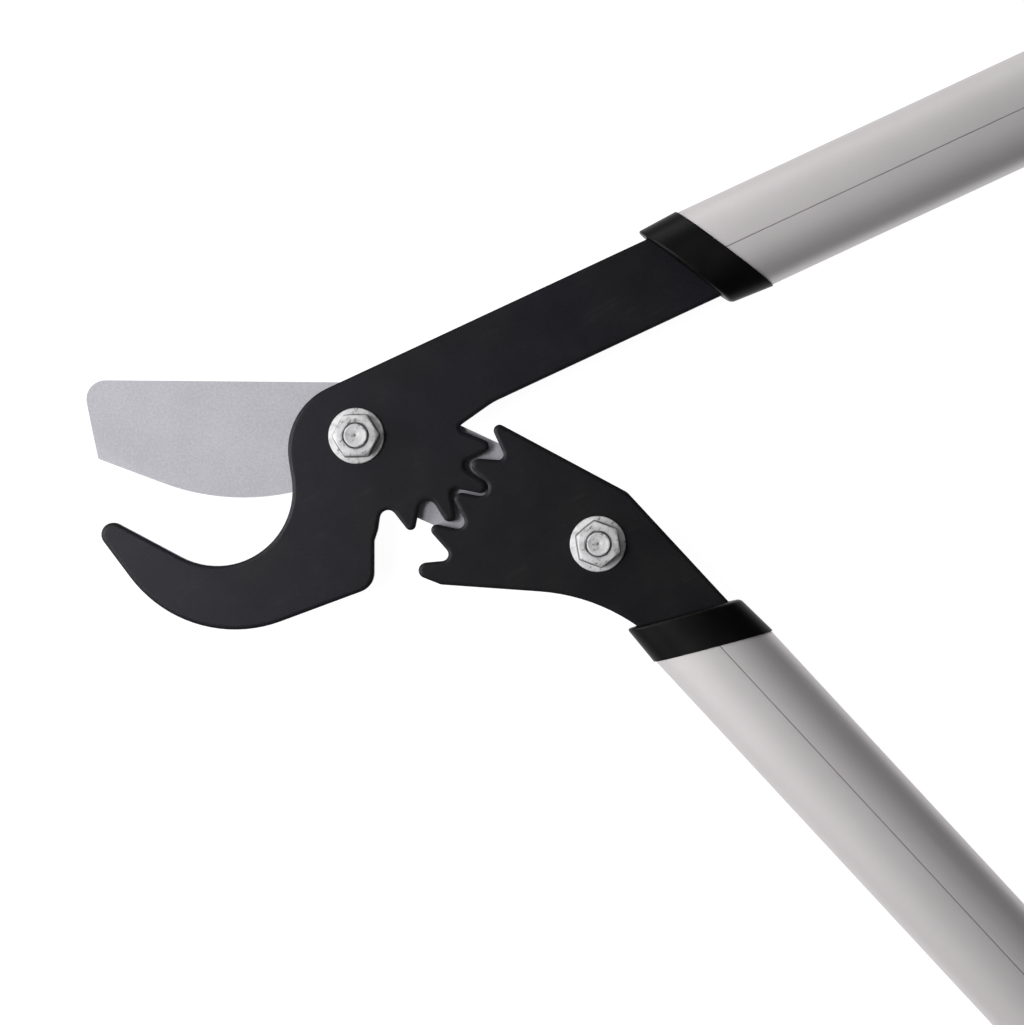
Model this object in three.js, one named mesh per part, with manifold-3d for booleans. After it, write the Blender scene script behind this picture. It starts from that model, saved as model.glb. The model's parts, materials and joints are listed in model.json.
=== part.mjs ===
// Bypass loppers: a silver blade plate carries both pivots, a hooked lever turns on the main
// pivot, and a second lever turns on the gear pivot. The two levers mesh through a pair of
// toothed sectors, so closing the handles closes the hook past the blade.
//
// Millimetres, +Z up. The tool lies flat with its nuts up. The origin is on the main pivot's
// axis, at the height that the bolt heads and the grips rest on. +X runs from the blade's tip
// towards the handles, along the blade's back. Joint angles are zero in the half-open pose.

import * as THREE from "three";
import { mergeVertices } from "three/addons/utils/BufferGeometryUtils.js";
import Module from "manifold-3d";

const wasm = await Module();
wasm.setup();

const radians = THREE.MathUtils.degToRad;

// ---- Overall sizes ----
const pivotSpacing = 84.6; // main pivot to gear pivot
const pivotSlope = radians(-24.1); // direction of the gear pivot from the main pivot
const upperReach = 600; // main pivot to the end of the upper handle
const lowerReach = 515; // gear pivot to the end of the lower handle
const upperAngle = radians(25); // the handles' directions in the half-open pose
const lowerAngle = radians(-47.2);

// ---- Plates ----
const bladeThickness = 4;
const leverThickness = 5; // the hook plate and the gear plate
const linkHalfWidth = 16; // the blade plate's tail, which joins the pivots
const rimRound = 0.7; // softened edge of the two lever plates
const grindWidth = 7.5; // ground bevel behind the cutting edge
const edgeLand = 0.6; // thickness left at the cutting edge

// ---- Pivot bolts ----
const boltDiameter = 8;
const acrossFlats = 13;
const flangeDiameter = 17.9;
const flangeHeight = 3;
const headHeight = 7.6;
const nutHeight = 8;
const boltProud = 1.4; // bolt end above the nut
const bushWall = 2;
const washerThickness = 1.6;
const washerWidth = 2.4; // ring width of the spring washer
const washerSplit = 1.2;

// ---- Handles ----
const tubeWidth = 33.8;
const tubeDepth = 18;
const tubeWall = 1.6;
const collarLength = 14.2; // visible part of the plastic collar, along the handle
const collarLip = 0.5; // the collar's rear edge stands this far outside the tube
const collarTaper = 0.955; // width of the collar's front as a share of its rear
const collarSlope = 0.53; // the collar and the tube are cut off slanting
const spigotLength = 46; // the collar's plug inside the tube
const spigotSideWall = 1.8; // plastic beside the steel tang
const tangLength = 62; // the lever plate runs this far past the collar's front
const rivetDiameter = 4.8;
const rivetHeadDiameter = 9.5;
const rivetHeadHeight = 1.8;
const rivetOffsets = [28, 48]; // from the collar's front

// ---- Grips ----
const gripLength = 150;
const gripWidth = 40;
const ringLength = 9;
const ringStep = 2; // the ring stands this far outside the grip on each side
const capThickness = 5;
const capPlug = 22;

// ---- Clearances ----
const fitGap = 0.15; // around the bolts, bushes and rivets
const sideGap = 0.3; // beside a plate that turns
const slotGap = 0.3; // around a tang, a spigot and a grip

// ---- Heights ----
const washerBottom = headHeight;
const bladeBottom = washerBottom + washerThickness;
const bladeTop = bladeBottom + bladeThickness;
const leverBottom = bladeTop + sideGap;
const leverTop = leverBottom + leverThickness;
const nutBottom = leverTop + sideGap;
const boltTop = nutBottom + nutHeight + boltProud;
const handlePlane = (leverBottom + leverTop) / 2; // middle of the lever plates and handles
const bushRadius = boltDiameter / 2 + fitGap + bushWall;
const armWidth = tubeWidth - 2 * (tubeWall + slotGap + spigotSideWall);
const gearPivot = new THREE.Vector3(
  pivotSpacing * Math.cos(pivotSlope),
  pivotSpacing * Math.sin(pivotSlope),
  0,
);

// ---- Materials ----
function finish(color, roughness, metalness) {
  return new THREE.MeshStandardMaterial({ color, roughness, metalness });
}

const finishes = {
  blade: () => finish(0xbababf, 0.42, 0.9),
  lever: () => finish(0x252429, 0.45, 0.3),
  zinc: () => finish(0xc4c4c6, 0.3, 1),
  tube: () => finish(0xc3bfc0, 0.4, 0.9),
  collar: () => finish(0x131315, 0.35, 0),
  grip: () => finish(0x1c1c1e, 0.8, 0),
};

// ---- Solids ----
function solidOf(geometry) {
  const bare = geometry.clone();
  bare.deleteAttribute("normal");
  bare.deleteAttribute("uv");
  const merged = mergeVertices(bare, 1e-4);
  return new wasm.Manifold(
    new wasm.Mesh({
      numProp: 3,
      vertProperties: new Float32Array(merged.attributes.position.array),
      triVerts: new Uint32Array(merged.index.array),
    }),
  );
}

function meshOf(name, solid, material) {
  const { vertProperties, triVerts } = solid.getMesh();
  const indexed = new THREE.BufferGeometry();
  indexed.setAttribute("position", new THREE.BufferAttribute(vertProperties, 3));
  indexed.setIndex(new THREE.BufferAttribute(triVerts, 1));
  const geometry = indexed.toNonIndexed();
  geometry.computeVertexNormals();
  const mesh = new THREE.Mesh(geometry, material());
  mesh.name = name;
  return mesh;
}

// A body turned about the Z axis, from [radius, height] points that go up its outside.
function turned(profile, segments = 28) {
  const points = profile.map(([radius, height]) => new THREE.Vector2(radius, height));
  return solidOf(new THREE.LatheGeometry(points, segments).rotateX(Math.PI / 2));
}

function rod(radius, bottom, top, segments = 28) {
  const outside = [[0, bottom], [radius, bottom], [radius, top], [0, top]];
  return turned(outside, segments);
}

function movedTo(solid, x, y) {
  return solid.translate([x, y, 0]);
}

// ---- Outlines of arcs and straight lines ----
// An outline is a ring of circles, taken anticlockwise, with the tangent lines between them.
// A positive radius is a corner that bulges, and a negative one is a hollow.
function arc(x, y, round) {
  return { x, y, round };
}

// The same circle given by its angle and distance from a pivot.
function polarArc(degrees, reach, round) {
  const angle = radians(degrees);
  return arc(reach * Math.cos(angle), reach * Math.sin(angle), round);
}

function tangentHeading(from, to) {
  const across = to.x - from.x;
  const up = to.y - from.y;
  const lean = Math.asin((to.round - from.round) / Math.hypot(across, up));
  return Math.atan2(up, across) - lean;
}

// Points along the outline, each with the outward normal and the number of its arc.
function outlineOf(arcs, flatness = 0.025) {
  const headings = arcs.map((from, i) => tangentHeading(from, arcs[(i + 1) % arcs.length]));
  return arcs.flatMap(({ x, y, round }, number) => {
    const start = headings[(number + arcs.length - 1) % arcs.length];
    const turn = Math.sign(round);
    const sweep = THREE.MathUtils.euclideanModulo(turn * (headings[number] - start), 2 * Math.PI);
    const step = 2 * Math.acos(1 - Math.min(flatness / Math.abs(round), 0.5));
    const count = Math.max(1, Math.ceil(sweep / step));
    return Array.from({ length: count + 1 }, (_, i) => {
      const heading = start + (turn * sweep * i) / count;
      const normal = new THREE.Vector2(Math.sin(heading), -Math.cos(heading));
      const point = new THREE.Vector2(x, y).addScaledVector(normal, round);
      return { point, normal, number };
    });
  });
}

function grownBy(outline, distance) {
  return outline.map(({ point, normal }) => point.clone().addScaledVector(normal, distance));
}

function circlePoints(x, y, radius, count = 28) {
  return Array.from({ length: count }, (_, i) => {
    const angle = (2 * Math.PI * i) / count;
    return new THREE.Vector2(x + radius * Math.cos(angle), y + radius * Math.sin(angle));
  });
}

// A plate whose outline changes with height. Each layer has its height and as many points as
// the others, and the holes go straight through.
function layeredPlate(layers, holes = []) {
  const corners = [];
  const addFace = (...points) => corners.push(...points.flatMap((p) => [p.x, p.y, p.z]));
  const raised = (point, height) => new THREE.Vector3(point.x, point.y, height);
  const addWall = (lower, upper, bottom, top) => {
    lower.forEach((point, i) => {
      const next = (i + 1) % lower.length;
      const quad = [
        raised(point, bottom),
        raised(lower[next], bottom),
        raised(upper[next], top),
        raised(upper[i], top),
      ];
      addFace(quad[0], quad[1], quad[2]);
      addFace(quad[0], quad[2], quad[3]);
    });
  };
  for (let i = 0; i + 1 < layers.length; i += 1)
    addWall(layers[i].outline, layers[i + 1].outline, layers[i].height, layers[i + 1].height);
  const lowest = layers[0];
  const highest = layers[layers.length - 1];
  holes.forEach((hole) => {
    const inward = [...hole].reverse();
    addWall(inward, inward, lowest.height, highest.height);
  });
  for (const [layer, upwards] of [[lowest, false], [highest, true]]) {
    const flat = [...layer.outline, ...holes.flat()].map((p) => raised(p, layer.height));
    for (const [a, b, c] of THREE.ShapeUtils.triangulateShape(layer.outline, holes))
      addFace(flat[a], flat[upwards ? b : c], flat[upwards ? c : b]);
  }
  const geometry = new THREE.BufferGeometry();
  geometry.setAttribute("position", new THREE.Float32BufferAttribute(corners, 3));
  return solidOf(geometry);
}

// A lever plate with softened edges and its pivot hole.
function leverPlate(outline) {
  const hole = circlePoints(0, 0, bushRadius + fitGap);
  const layers = [
    { height: leverBottom, outline: grownBy(outline, -rimRound) },
    { height: leverBottom + rimRound, outline: grownBy(outline, 0) },
    { height: leverTop - rimRound, outline: grownBy(outline, 0) },
    { height: leverTop, outline: grownBy(outline, -rimRound) },
  ];
  return layeredPlate(layers, [hole]);
}

// The space that a lever plate needs in its collar.
function leverSlot(outline) {
  const grown = grownBy(outline, slotGap);
  const layers = [
    { height: leverBottom - slotGap, outline: grown },
    { height: leverTop + slotGap, outline: grown },
  ];
  return layeredPlate(layers);
}

// ---- Blade plate ----
function makeBlade() {
  const tail = new THREE.Vector2(gearPivot.x, gearPivot.y);
  const acrossTail = new THREE.Vector2(Math.sin(pivotSlope), -Math.cos(pivotSlope));
  const heelRound = 3.2;
  const heel = acrossTail.clone().multiplyScalar(linkHalfWidth + heelRound);
  const tipCorner = arc(-82.7, -6.8, 0.6);
  const topCorner = arc(-80.9, 11.9, 6.1);
  const cuttingEdge = arc(-36.6, 53.9, 73.6);
  const arcs = [
    topCorner,
    tipCorner,
    cuttingEdge,
    arc(heel.x, heel.y, -heelRound),
    arc(tail.x, tail.y, linkHalfWidth),
    arc(0, 1.3, linkHalfWidth),
  ];
  const tipArc = 1;
  const cuttingArc = 2;
  const outline = outlineOf(arcs);
  const front = grownBy(outline, 0);
  const noseHeading = tangentHeading(topCorner, tipCorner);
  const edgeHeading = tangentHeading(tipCorner, cuttingEdge);
  const noseShift = grindWidth / Math.sin(edgeHeading - noseHeading);
  const upTheNose = new THREE.Vector2(-Math.cos(noseHeading), -Math.sin(noseHeading));
  upTheNose.multiplyScalar(noseShift);
  const ground = outline.map(({ point, normal, number }) => {
    if (number === tipArc) return point.clone().add(upTheNose);
    if (number === cuttingArc) return point.clone().addScaledVector(normal, -grindWidth);
    return point.clone();
  });
  const layers = [
    { height: bladeBottom, outline: ground },
    { height: bladeTop - edgeLand, outline: front },
    { height: bladeTop, outline: front },
  ];
  const holeRadius = boltDiameter / 2 + fitGap;
  const holes = [circlePoints(0, 0, holeRadius), circlePoints(tail.x, tail.y, holeRadius)];
  return meshOf("blade", layeredPlate(layers, holes), finishes.blade);
}

// ---- Lever plates ----
// The toothed sectors are laid out for a pivot spacing of 84.6 mm and grow with the spacing.
const sectorScale = pivotSpacing / 84.6;

// Circles from [degrees, reach, round] rows about the lever's pivot: tips and roots in turn.
function toothArcs(teeth) {
  return teeth.map(([degrees, reach, round]) =>
    polarArc(degrees, reach * sectorScale, round * sectorScale),
  );
}

// Both outlines are in the lever's own frame: the pivot at zero and the handle along +X.
function hookOutline(handle) {
  const armTop = handle.axis + armWidth / 2;
  const armBottom = handle.axis - armWidth / 2;
  const tangEnd = handle.collarFront + tangLength;
  const bossRound = 21.8;
  const elbowRound = 20;
  return outlineOf([
    arc(tangEnd - 1, armBottom + 1, 1),
    arc(tangEnd - 1, armTop - 1, 1),
    arc(-2, armTop - bossRound, bossRound),
    arc(-47.9, 3.2, -24.3), // throat of the hook
    arc(-83.9, 4.3, 3.8), // tip
    arc(-43.7, -1.8, 41.9), // outer curve
    ...toothArcs([
      [-115.9, 43.8, 6.4],
      [-102.3, 34.7, -1.9],
      [-107.6, 29.4, 3.2],
      [-94, 28.3, -2.7],
      [-83.7, 33.3, 1.7],
      [-71, 32.9, -2.9],
      [-65.7, 39.1, 1.9],
      [-55.1, 37.1, -1.8],
      [-47.4, 42.6, 2.1],
      [-39.5, 37.7, -2],
      [-29.6, 40.5, 2],
      [-20.6, 34.4, -1.3],
    ]),
    arc(46 * sectorScale, armBottom - elbowRound, -elbowRound),
  ]);
}

function gearOutline(handle) {
  const armTop = handle.axis + armWidth / 2;
  const armBottom = handle.axis - armWidth / 2;
  const tangEnd = handle.collarFront + tangLength;
  const waistRound = 62;
  return outlineOf([
    arc(tangEnd - 1, armBottom + 1, 1),
    arc(tangEnd - 1, armTop - 1, 1),
    arc(-4.9, armTop - 4.8, 4.8),
    ...toothArcs([
      [178.1, 48, 1.9],
      [-174.7, 42.8, -1.7],
      [-166.1, 45.7, 2.2],
      [-158.3, 41.7, -2.6],
      [-150.9, 46.2, 2],
      [-141.8, 45.5, -2.3],
      [-137.7, 51.7, 1.8],
      [-129, 50.1, -2.2],
      [-124, 55.5, 2.5],
      [-121.5, 50.4, 3.2],
    ]),
    arc(41, armBottom - waistRound + 1, -waistRound),
  ]);
}

// ---- Pivot hardware ----
// A hexagon on a conical flange, with the flange at zero height.
function flangedHexagon(height) {
  const flat = acrossFlats / 2;
  const corner = flat / Math.cos(Math.PI / 6);
  const shape = new THREE.Shape(circlePoints(0, 0, corner, 6));
  const prism = new THREE.ExtrudeGeometry(shape, { depth: height, bevelEnabled: false });
  const chamfer = turned([
    [0, 0],
    [corner + 1, 0],
    [corner + 1, height - (corner + 1 - flat) * 0.55],
    [flat - 0.2, height],
    [0, height],
  ]);
  const flange = turned([
    [0, 0],
    [flangeDiameter / 2 - 0.3, 0],
    [flangeDiameter / 2, 0.4],
    [flangeDiameter / 2, 1],
    [flat, flangeHeight],
    [0, flangeHeight],
  ]);
  return solidOf(prism).intersect(chamfer).add(flange);
}

function makeBolt(name) {
  const radius = boltDiameter / 2;
  const head = flangedHexagon(headHeight).rotate([180, 0, 0]).translate([0, 0, headHeight]);
  const shank = turned([
    [0, headHeight - 1],
    [radius, headHeight - 1],
    [radius, boltTop - 0.8],
    [radius - 0.8, boltTop],
    [0, boltTop],
  ]);
  return meshOf(name, head.add(shank), finishes.zinc);
}

function makeSpringWasher(name) {
  const inner = boltDiameter / 2 + fitGap;
  const outer = inner + washerWidth;
  const top = washerBottom + washerThickness;
  const split = new THREE.BoxGeometry(outer, washerSplit, 4 * washerThickness);
  split.rotateX(radians(20)).translate(inner + washerWidth / 2, 0, washerBottom);
  const bore = rod(inner, washerBottom - 1, top + 1);
  const ring = rod(outer, washerBottom, top).subtract(bore).subtract(solidOf(split));
  return meshOf(name, ring, finishes.zinc);
}

function makeBush(name) {
  const bore = rod(boltDiameter / 2 + fitGap, bladeTop - 1, nutBottom + 1);
  const bush = rod(bushRadius, bladeTop, nutBottom).subtract(bore);
  return meshOf(name, bush, finishes.zinc);
}

function makeNut(name, turn) {
  const bore = rod(boltDiameter / 2 + fitGap, -1, nutHeight + 1);
  const nut = flangedHexagon(nutHeight).subtract(bore);
  const placed = nut.rotate([0, 0, turn]).translate([0, 0, nutBottom]);
  return meshOf(name, placed, finishes.zinc);
}

function makePivot(label, position, nutTurn) {
  const group = new THREE.Group();
  group.position.copy(position);
  group.add(
    makeBolt(`${label}_bolt`),
    makeSpringWasher(`${label}_spring_washer`),
    makeBush(`${label}_bush`),
    makeNut(`${label}_nut`, nutTurn),
  );
  return group;
}

// ---- Handles ----
function ovalPoints(width, depth, count = 44) {
  const power = 2 / 2.3;
  return Array.from({ length: count }, (_, i) => {
    const angle = (2 * Math.PI * i) / count;
    const across = Math.cos(angle);
    const deep = Math.sin(angle);
    return new THREE.Vector2(
      (width / 2) * Math.sign(across) * Math.abs(across) ** power,
      (depth / 2) * Math.sign(deep) * Math.abs(deep) ** power,
    );
  });
}

// An oval bar along +X about the handle's axis. scaleAt and slopeAt shape it along its length:
// the section's size as a share of its own, and the slant of its cross-cut.
function ovalBar(width, depth, start, end, { steps = 1, scaleAt, slopeAt } = {}) {
  const shape = new THREE.Shape(ovalPoints(width, depth));
  const length = end - start;
  const geometry = new THREE.ExtrudeGeometry(shape, { depth: length, steps, bevelEnabled: false });
  const toHandle = new THREE.Matrix4().makeBasis(
    new THREE.Vector3(0, 1, 0),
    new THREE.Vector3(0, 0, 1),
    new THREE.Vector3(1, 0, 0),
  );
  geometry.applyMatrix4(toHandle);
  const position = geometry.attributes.position;
  for (let i = 0; i < position.count; i += 1) {
    const share = position.getX(i) / length;
    const size = scaleAt ? scaleAt(share) : 1;
    const y = position.getY(i) * size;
    const slope = slopeAt ? slopeAt(share) : 0;
    position.setXYZ(i, start + share * length + slope * y, y, position.getZ(i) * size);
  }
  return solidOf(geometry);
}

function rivetPositions(handle) {
  return rivetOffsets.map((offset) => handle.collarFront + offset);
}

// Holes for the rivets, up to a height above the handle's middle.
function rivetHoles(handle, top) {
  const radius = rivetDiameter / 2 + fitGap;
  const holes = rivetPositions(handle).map((x) => movedTo(rod(radius, -tubeDepth, top, 16), x, 0));
  return holes[0].add(holes[1]);
}

function makeCollar(handle, slot) {
  const rear = handle.collarFront + collarLength;
  const lip = 2 * collarLip;
  const slant = { slopeAt: () => handle.slope };
  const band = ovalBar(tubeWidth + lip, tubeDepth + lip, handle.collarFront, rear - fitGap, {
    ...slant,
    scaleAt: (share) => collarTaper + (1 - collarTaper) * share,
  });
  const inset = 2 * (tubeWall + slotGap);
  const spigotStart = handle.collarFront + collarLength / 2;
  const spigot = ovalBar(tubeWidth - inset, tubeDepth - inset, spigotStart, rear + spigotLength, {
    slopeAt: (share) => handle.slope * (1 - share),
  });
  return band.add(spigot).subtract(slot).subtract(rivetHoles(handle, tubeDepth / 4));
}

function makeTube(handle) {
  const start = handle.collarFront + collarLength;
  const end = handle.reach - capThickness - sideGap;
  const slant = { slopeAt: (share) => handle.slope * (1 - share) };
  const outside = ovalBar(tubeWidth, tubeDepth, start, end, slant);
  const bore = 2 * tubeWall;
  const margin = tubeWidth;
  const inside = ovalBar(tubeWidth - bore, tubeDepth - bore, start - margin, end + margin);
  return outside.subtract(inside).subtract(rivetHoles(handle, 0));
}

function makeRivet(x) {
  const bottom = -tubeDepth / 2 - fitGap;
  const head = rivetHeadDiameter / 2;
  const shank = rivetDiameter / 2;
  const profile = [
    [0, bottom - rivetHeadHeight],
    [head * 0.55, bottom - rivetHeadHeight],
    [head * 0.9, bottom - rivetHeadHeight / 2],
    [head, bottom],
    [shank, bottom],
    [shank, leverThickness / 2 + 1],
    [0, leverThickness / 2 + 1],
  ];
  return movedTo(turned(profile, 16), x, 0);
}

// The grip swells at the palm and flares at both ends.
function gripScale(share) {
  const palm = Math.sin(Math.PI * share) ** 2;
  const flare = Math.abs(2 * share - 1) ** 6;
  return 0.9 + 0.07 * palm + 0.1 * flare;
}

function gripDepth() {
  return 2 * handlePlane;
}

function makeGrip(handle) {
  const start = handle.reach - gripLength;
  const end = handle.reach - capThickness - sideGap;
  const outside = ovalBar(gripWidth, gripDepth(), start, end, { steps: 8, scaleAt: gripScale });
  const room = 2 * slotGap;
  const bore = ovalBar(tubeWidth + room, tubeDepth + room, start - 5, end + 5);
  return outside.subtract(bore);
}

function makeGripRing(handle) {
  const end = handle.reach - gripLength - sideGap;
  const step = 2 * ringStep;
  const crown = (share) => 1 - 0.05 * (2 * share - 1) ** 2;
  const start = end - ringLength;
  const outside = ovalBar(gripWidth + step, gripDepth(), start, end, { steps: 3, scaleAt: crown });
  const room = 2 * slotGap;
  return outside.subtract(ovalBar(tubeWidth + room, tubeDepth + room, start - 5, end + 5));
}

function makeEndCap(handle) {
  const face = handle.reach - capThickness;
  const dome = (share) => 1 - 0.12 * share ** 2;
  const cap = ovalBar(gripWidth, gripDepth(), face, handle.reach, { steps: 3, scaleAt: dome });
  const inset = 2 * (tubeWall + slotGap);
  const plug = ovalBar(tubeWidth - inset, tubeDepth - inset, face - capPlug, face + 1);
  return cap.add(plug);
}

// A whole lever: its steel plate and its handle, in the lever's own frame.
function makeLever(label, plateName, handle, outline) {
  const slotDrop = [0, -handle.axis, -handlePlane];
  const slot = leverSlot(outline).translate(slotDrop);
  const holes = rivetHoles(handle, handlePlane).translate([0, handle.axis, handlePlane]);
  const plate = leverPlate(outline).subtract(holes);
  const lever = new THREE.Group();
  lever.add(meshOf(plateName, plate, finishes.lever));
  const pieces = new THREE.Group();
  pieces.position.set(0, handle.axis, handlePlane);
  pieces.add(
    meshOf(`${label}_collar`, makeCollar(handle, slot), finishes.collar),
    meshOf(`${label}_tube`, makeTube(handle), finishes.tube),
    meshOf(`${label}_grip_ring`, makeGripRing(handle), finishes.collar),
    meshOf(`${label}_grip`, makeGrip(handle), finishes.grip),
    meshOf(`${label}_end_cap`, makeEndCap(handle), finishes.collar),
  );
  rivetPositions(handle).forEach((x, i) => {
    pieces.add(meshOf(`${label}_rivet_${i + 1}`, makeRivet(x), finishes.zinc));
  });
  lever.add(pieces);
  lever.rotation.z = handle.angle;
  return lever;
}

// ---- The two levers ----
// axis is the handle's offset from the line through the pivot, and the slope's sign sets which
// side of the collar reaches nearer the head.
const upperHandle = {
  angle: upperAngle,
  axis: 4.6,
  collarFront: 118.1,
  slope: -collarSlope,
  reach: upperReach,
};
const lowerHandle = {
  angle: lowerAngle,
  axis: 5,
  collarFront: 35.2,
  slope: collarSlope,
  reach: lowerReach,
};

const upperLever = makeLever("upper", "hook_plate", upperHandle, hookOutline(upperHandle));
const lowerLever = makeLever("lower", "gear_plate", lowerHandle, gearOutline(lowerHandle));
lowerLever.position.copy(gearPivot);

const loppers = new THREE.Group();
loppers.add(
  makeBlade(),
  makePivot("main", new THREE.Vector3(), 0),
  makePivot("gear", gearPivot, -20.5),
  upperLever,
  lowerLever,
);

export default loppers;
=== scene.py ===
import math

import bmesh
import bpy
from mathutils import Matrix, Vector
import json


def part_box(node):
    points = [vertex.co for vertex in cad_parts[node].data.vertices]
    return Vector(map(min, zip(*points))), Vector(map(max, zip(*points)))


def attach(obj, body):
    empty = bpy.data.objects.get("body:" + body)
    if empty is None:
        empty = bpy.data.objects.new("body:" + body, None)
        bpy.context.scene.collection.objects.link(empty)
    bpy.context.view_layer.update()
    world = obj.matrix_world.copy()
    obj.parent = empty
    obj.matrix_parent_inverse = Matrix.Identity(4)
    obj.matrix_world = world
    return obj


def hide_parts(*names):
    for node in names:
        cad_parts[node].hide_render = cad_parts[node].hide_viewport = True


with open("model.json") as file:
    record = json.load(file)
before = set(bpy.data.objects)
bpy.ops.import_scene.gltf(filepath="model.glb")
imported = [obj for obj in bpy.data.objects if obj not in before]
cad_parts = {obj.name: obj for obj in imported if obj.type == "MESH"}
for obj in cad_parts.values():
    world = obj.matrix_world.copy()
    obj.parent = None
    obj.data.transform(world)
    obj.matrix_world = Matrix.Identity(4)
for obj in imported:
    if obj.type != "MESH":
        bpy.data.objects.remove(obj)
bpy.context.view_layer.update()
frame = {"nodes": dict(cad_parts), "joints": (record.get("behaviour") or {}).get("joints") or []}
nodes = frame["nodes"]
joints = {joint["name"]: joint for joint in frame["joints"]}
mm = 0.001
print("frame loaded with", len(nodes), "nodes")


# lowest and highest point of a node
def heightsOf(node):
    low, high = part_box(node)
    return low[2], high[2]


def centreOf(node):
    low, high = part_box(node)
    return (Vector(low) + Vector(high)) / 2


plateBottom, plateTop = heightsOf("hook_plate")
handlePlane = (plateBottom + plateTop) / 2
pivots = {
    "main": Vector(joints["hook_pivot"]["pos_m"]),
    "gear": Vector(joints["gear_pivot"]["pos_m"]),
}


# X runs along a handle, Y across it and Z up, from the middle of the first rivet
def handleFrame(label):
    first = centreOf(f"{label}_rivet_1")
    along = centreOf(f"{label}_rivet_2") - first
    along.z = 0
    along.normalize()
    across = Vector((-along.y, along.x, 0))
    up = Vector((0, 0, 1))
    place = Matrix((along, across, up)).transposed().to_4x4()
    place.translation = Vector((first.x, first.y, handlePlane))
    return place


handles = {"upper": handleFrame("upper"), "lower": handleFrame("lower")}


# lowest and highest corner of a node in its handle's frame
def stretchOf(node, place):
    back = place.inverted()
    corners = [back @ vertex.co for vertex in nodes[node].data.vertices]
    low = Vector(min(corner[i] for corner in corners) for i in range(3))
    high = Vector(max(corner[i] for corner in corners) for i in range(3))
    return low, high


# a socket that can be used in sums
class Wire:
    def __init__(self, finish, socket):
        self.finish = finish
        self.socket = socket

    def maths(self, operation, *values):
        return self.finish.add("ShaderNodeMath", {"operation": operation}, dict(enumerate(values)))

    def __add__(self, other):
        return self.maths("ADD", self, other)

    __radd__ = __add__

    def __sub__(self, other):
        return self.maths("SUBTRACT", self, other)

    def __rsub__(self, other):
        return self.maths("SUBTRACT", other, self)

    def __mul__(self, other):
        return self.maths("MULTIPLY", self, other)

    __rmul__ = __mul__

    def __abs__(self):
        return self.maths("ABSOLUTE", self)

    def root(self):
        return self.maths("SQRT", self)

    def sine(self):
        return self.maths("SINE", self)

    # 0 below low, 1 above high, smooth between
    def rise(self, low, high):
        inputs = {"Value": self, "From Min": low, "From Max": high}
        return self.finish.add("ShaderNodeMapRange", {"interpolation_type": "SMOOTHSTEP"}, inputs)


class Finish:
    def __init__(self, name, roughness, metallic=0.0, **constants):
        self.material = bpy.data.materials.new(name)
        self.material.use_nodes = True
        self.tree = self.material.node_tree
        self.shader = self.tree.nodes["Principled BSDF"]
        self.shader.inputs["Roughness"].default_value = roughness
        self.shader.inputs["Metallic"].default_value = metallic
        for socket, value in constants.items():
            self.shader.inputs[socket.replace("_", " ")].default_value = value
        self.place = self.add("ShaderNodeTexCoord", {}, {}, "Object")

    def add(self, kind, settings, inputs, output=0):
        node = self.tree.nodes.new(kind)
        for setting, value in settings.items():
            if setting == "stops":
                self.setStops(node.color_ramp, value)
            else:
                setattr(node, setting, value)
        for socket, value in inputs.items():
            if isinstance(value, Wire):
                self.tree.links.new(value.socket, node.inputs[socket])
            else:
                node.inputs[socket].default_value = value
        return Wire(self, node.outputs[output])

    def setStops(self, ramp, stops):
        while len(ramp.elements) < len(stops):
            ramp.elements.new(1.0)
        for element, (position, colour) in zip(ramp.elements, stops):
            element.position = position
            element.color = colour

    # coordinates with a centre at zero, X along a direction, stretched by the scale
    def mapped(self, centre=(0, 0, 0), turn=0.0, scale=(1, 1, 1)):
        back = Vector(centre)
        back.rotate(Matrix.Rotation(-turn, 3, "Z"))
        moved = (-back.x * scale[0], -back.y * scale[1], -back.z * scale[2])
        unturned = {"Vector": self.place, "Rotation": (0, 0, -turn)}
        turned = self.add("ShaderNodeMapping", {"vector_type": "POINT"}, unturned)
        stretched = {"Vector": turned, "Location": moved, "Scale": scale}
        return self.add("ShaderNodeMapping", {"vector_type": "POINT"}, stretched)

    def axes(self, vector):
        return [self.add("ShaderNodeSeparateXYZ", {}, {"Vector": vector}, i) for i in range(3)]

    def noise(self, vector, scale, detail=2.0, roughness=0.5):
        inputs = {"Vector": vector, "Scale": scale, "Detail": detail, "Roughness": roughness}
        return self.add("ShaderNodeTexNoise", {}, inputs)

    def mix(self, factor, first, second):
        inputs = {0: factor, 6: first, 7: second}
        return self.add("ShaderNodeMix", {"data_type": "RGBA"}, inputs, 2)

    def colour(self, wire):
        self.tree.links.new(wire.socket, self.shader.inputs["Base Color"])

    def roughness(self, wire):
        self.tree.links.new(wire.socket, self.shader.inputs["Roughness"])

    def bump(self, height, distance, strength=1.0):
        inputs = {"Height": height, "Distance": distance, "Strength": strength}
        normal = self.add("ShaderNodeBump", {}, inputs)
        self.tree.links.new(normal.socket, self.shader.inputs["Normal"])


def shade(red, green, blue):
    return (red, green, blue, 1.0)


bladeLook = {
    "light": shade(0.56, 0.553, 0.595),
    "dark": shade(0.44, 0.435, 0.47),
    "grainScale": 1500,
    "cloudScale": 60,
    "grindLines": (60, 3200, 3200),
    "bumpDepth": 0.015,
}


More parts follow.
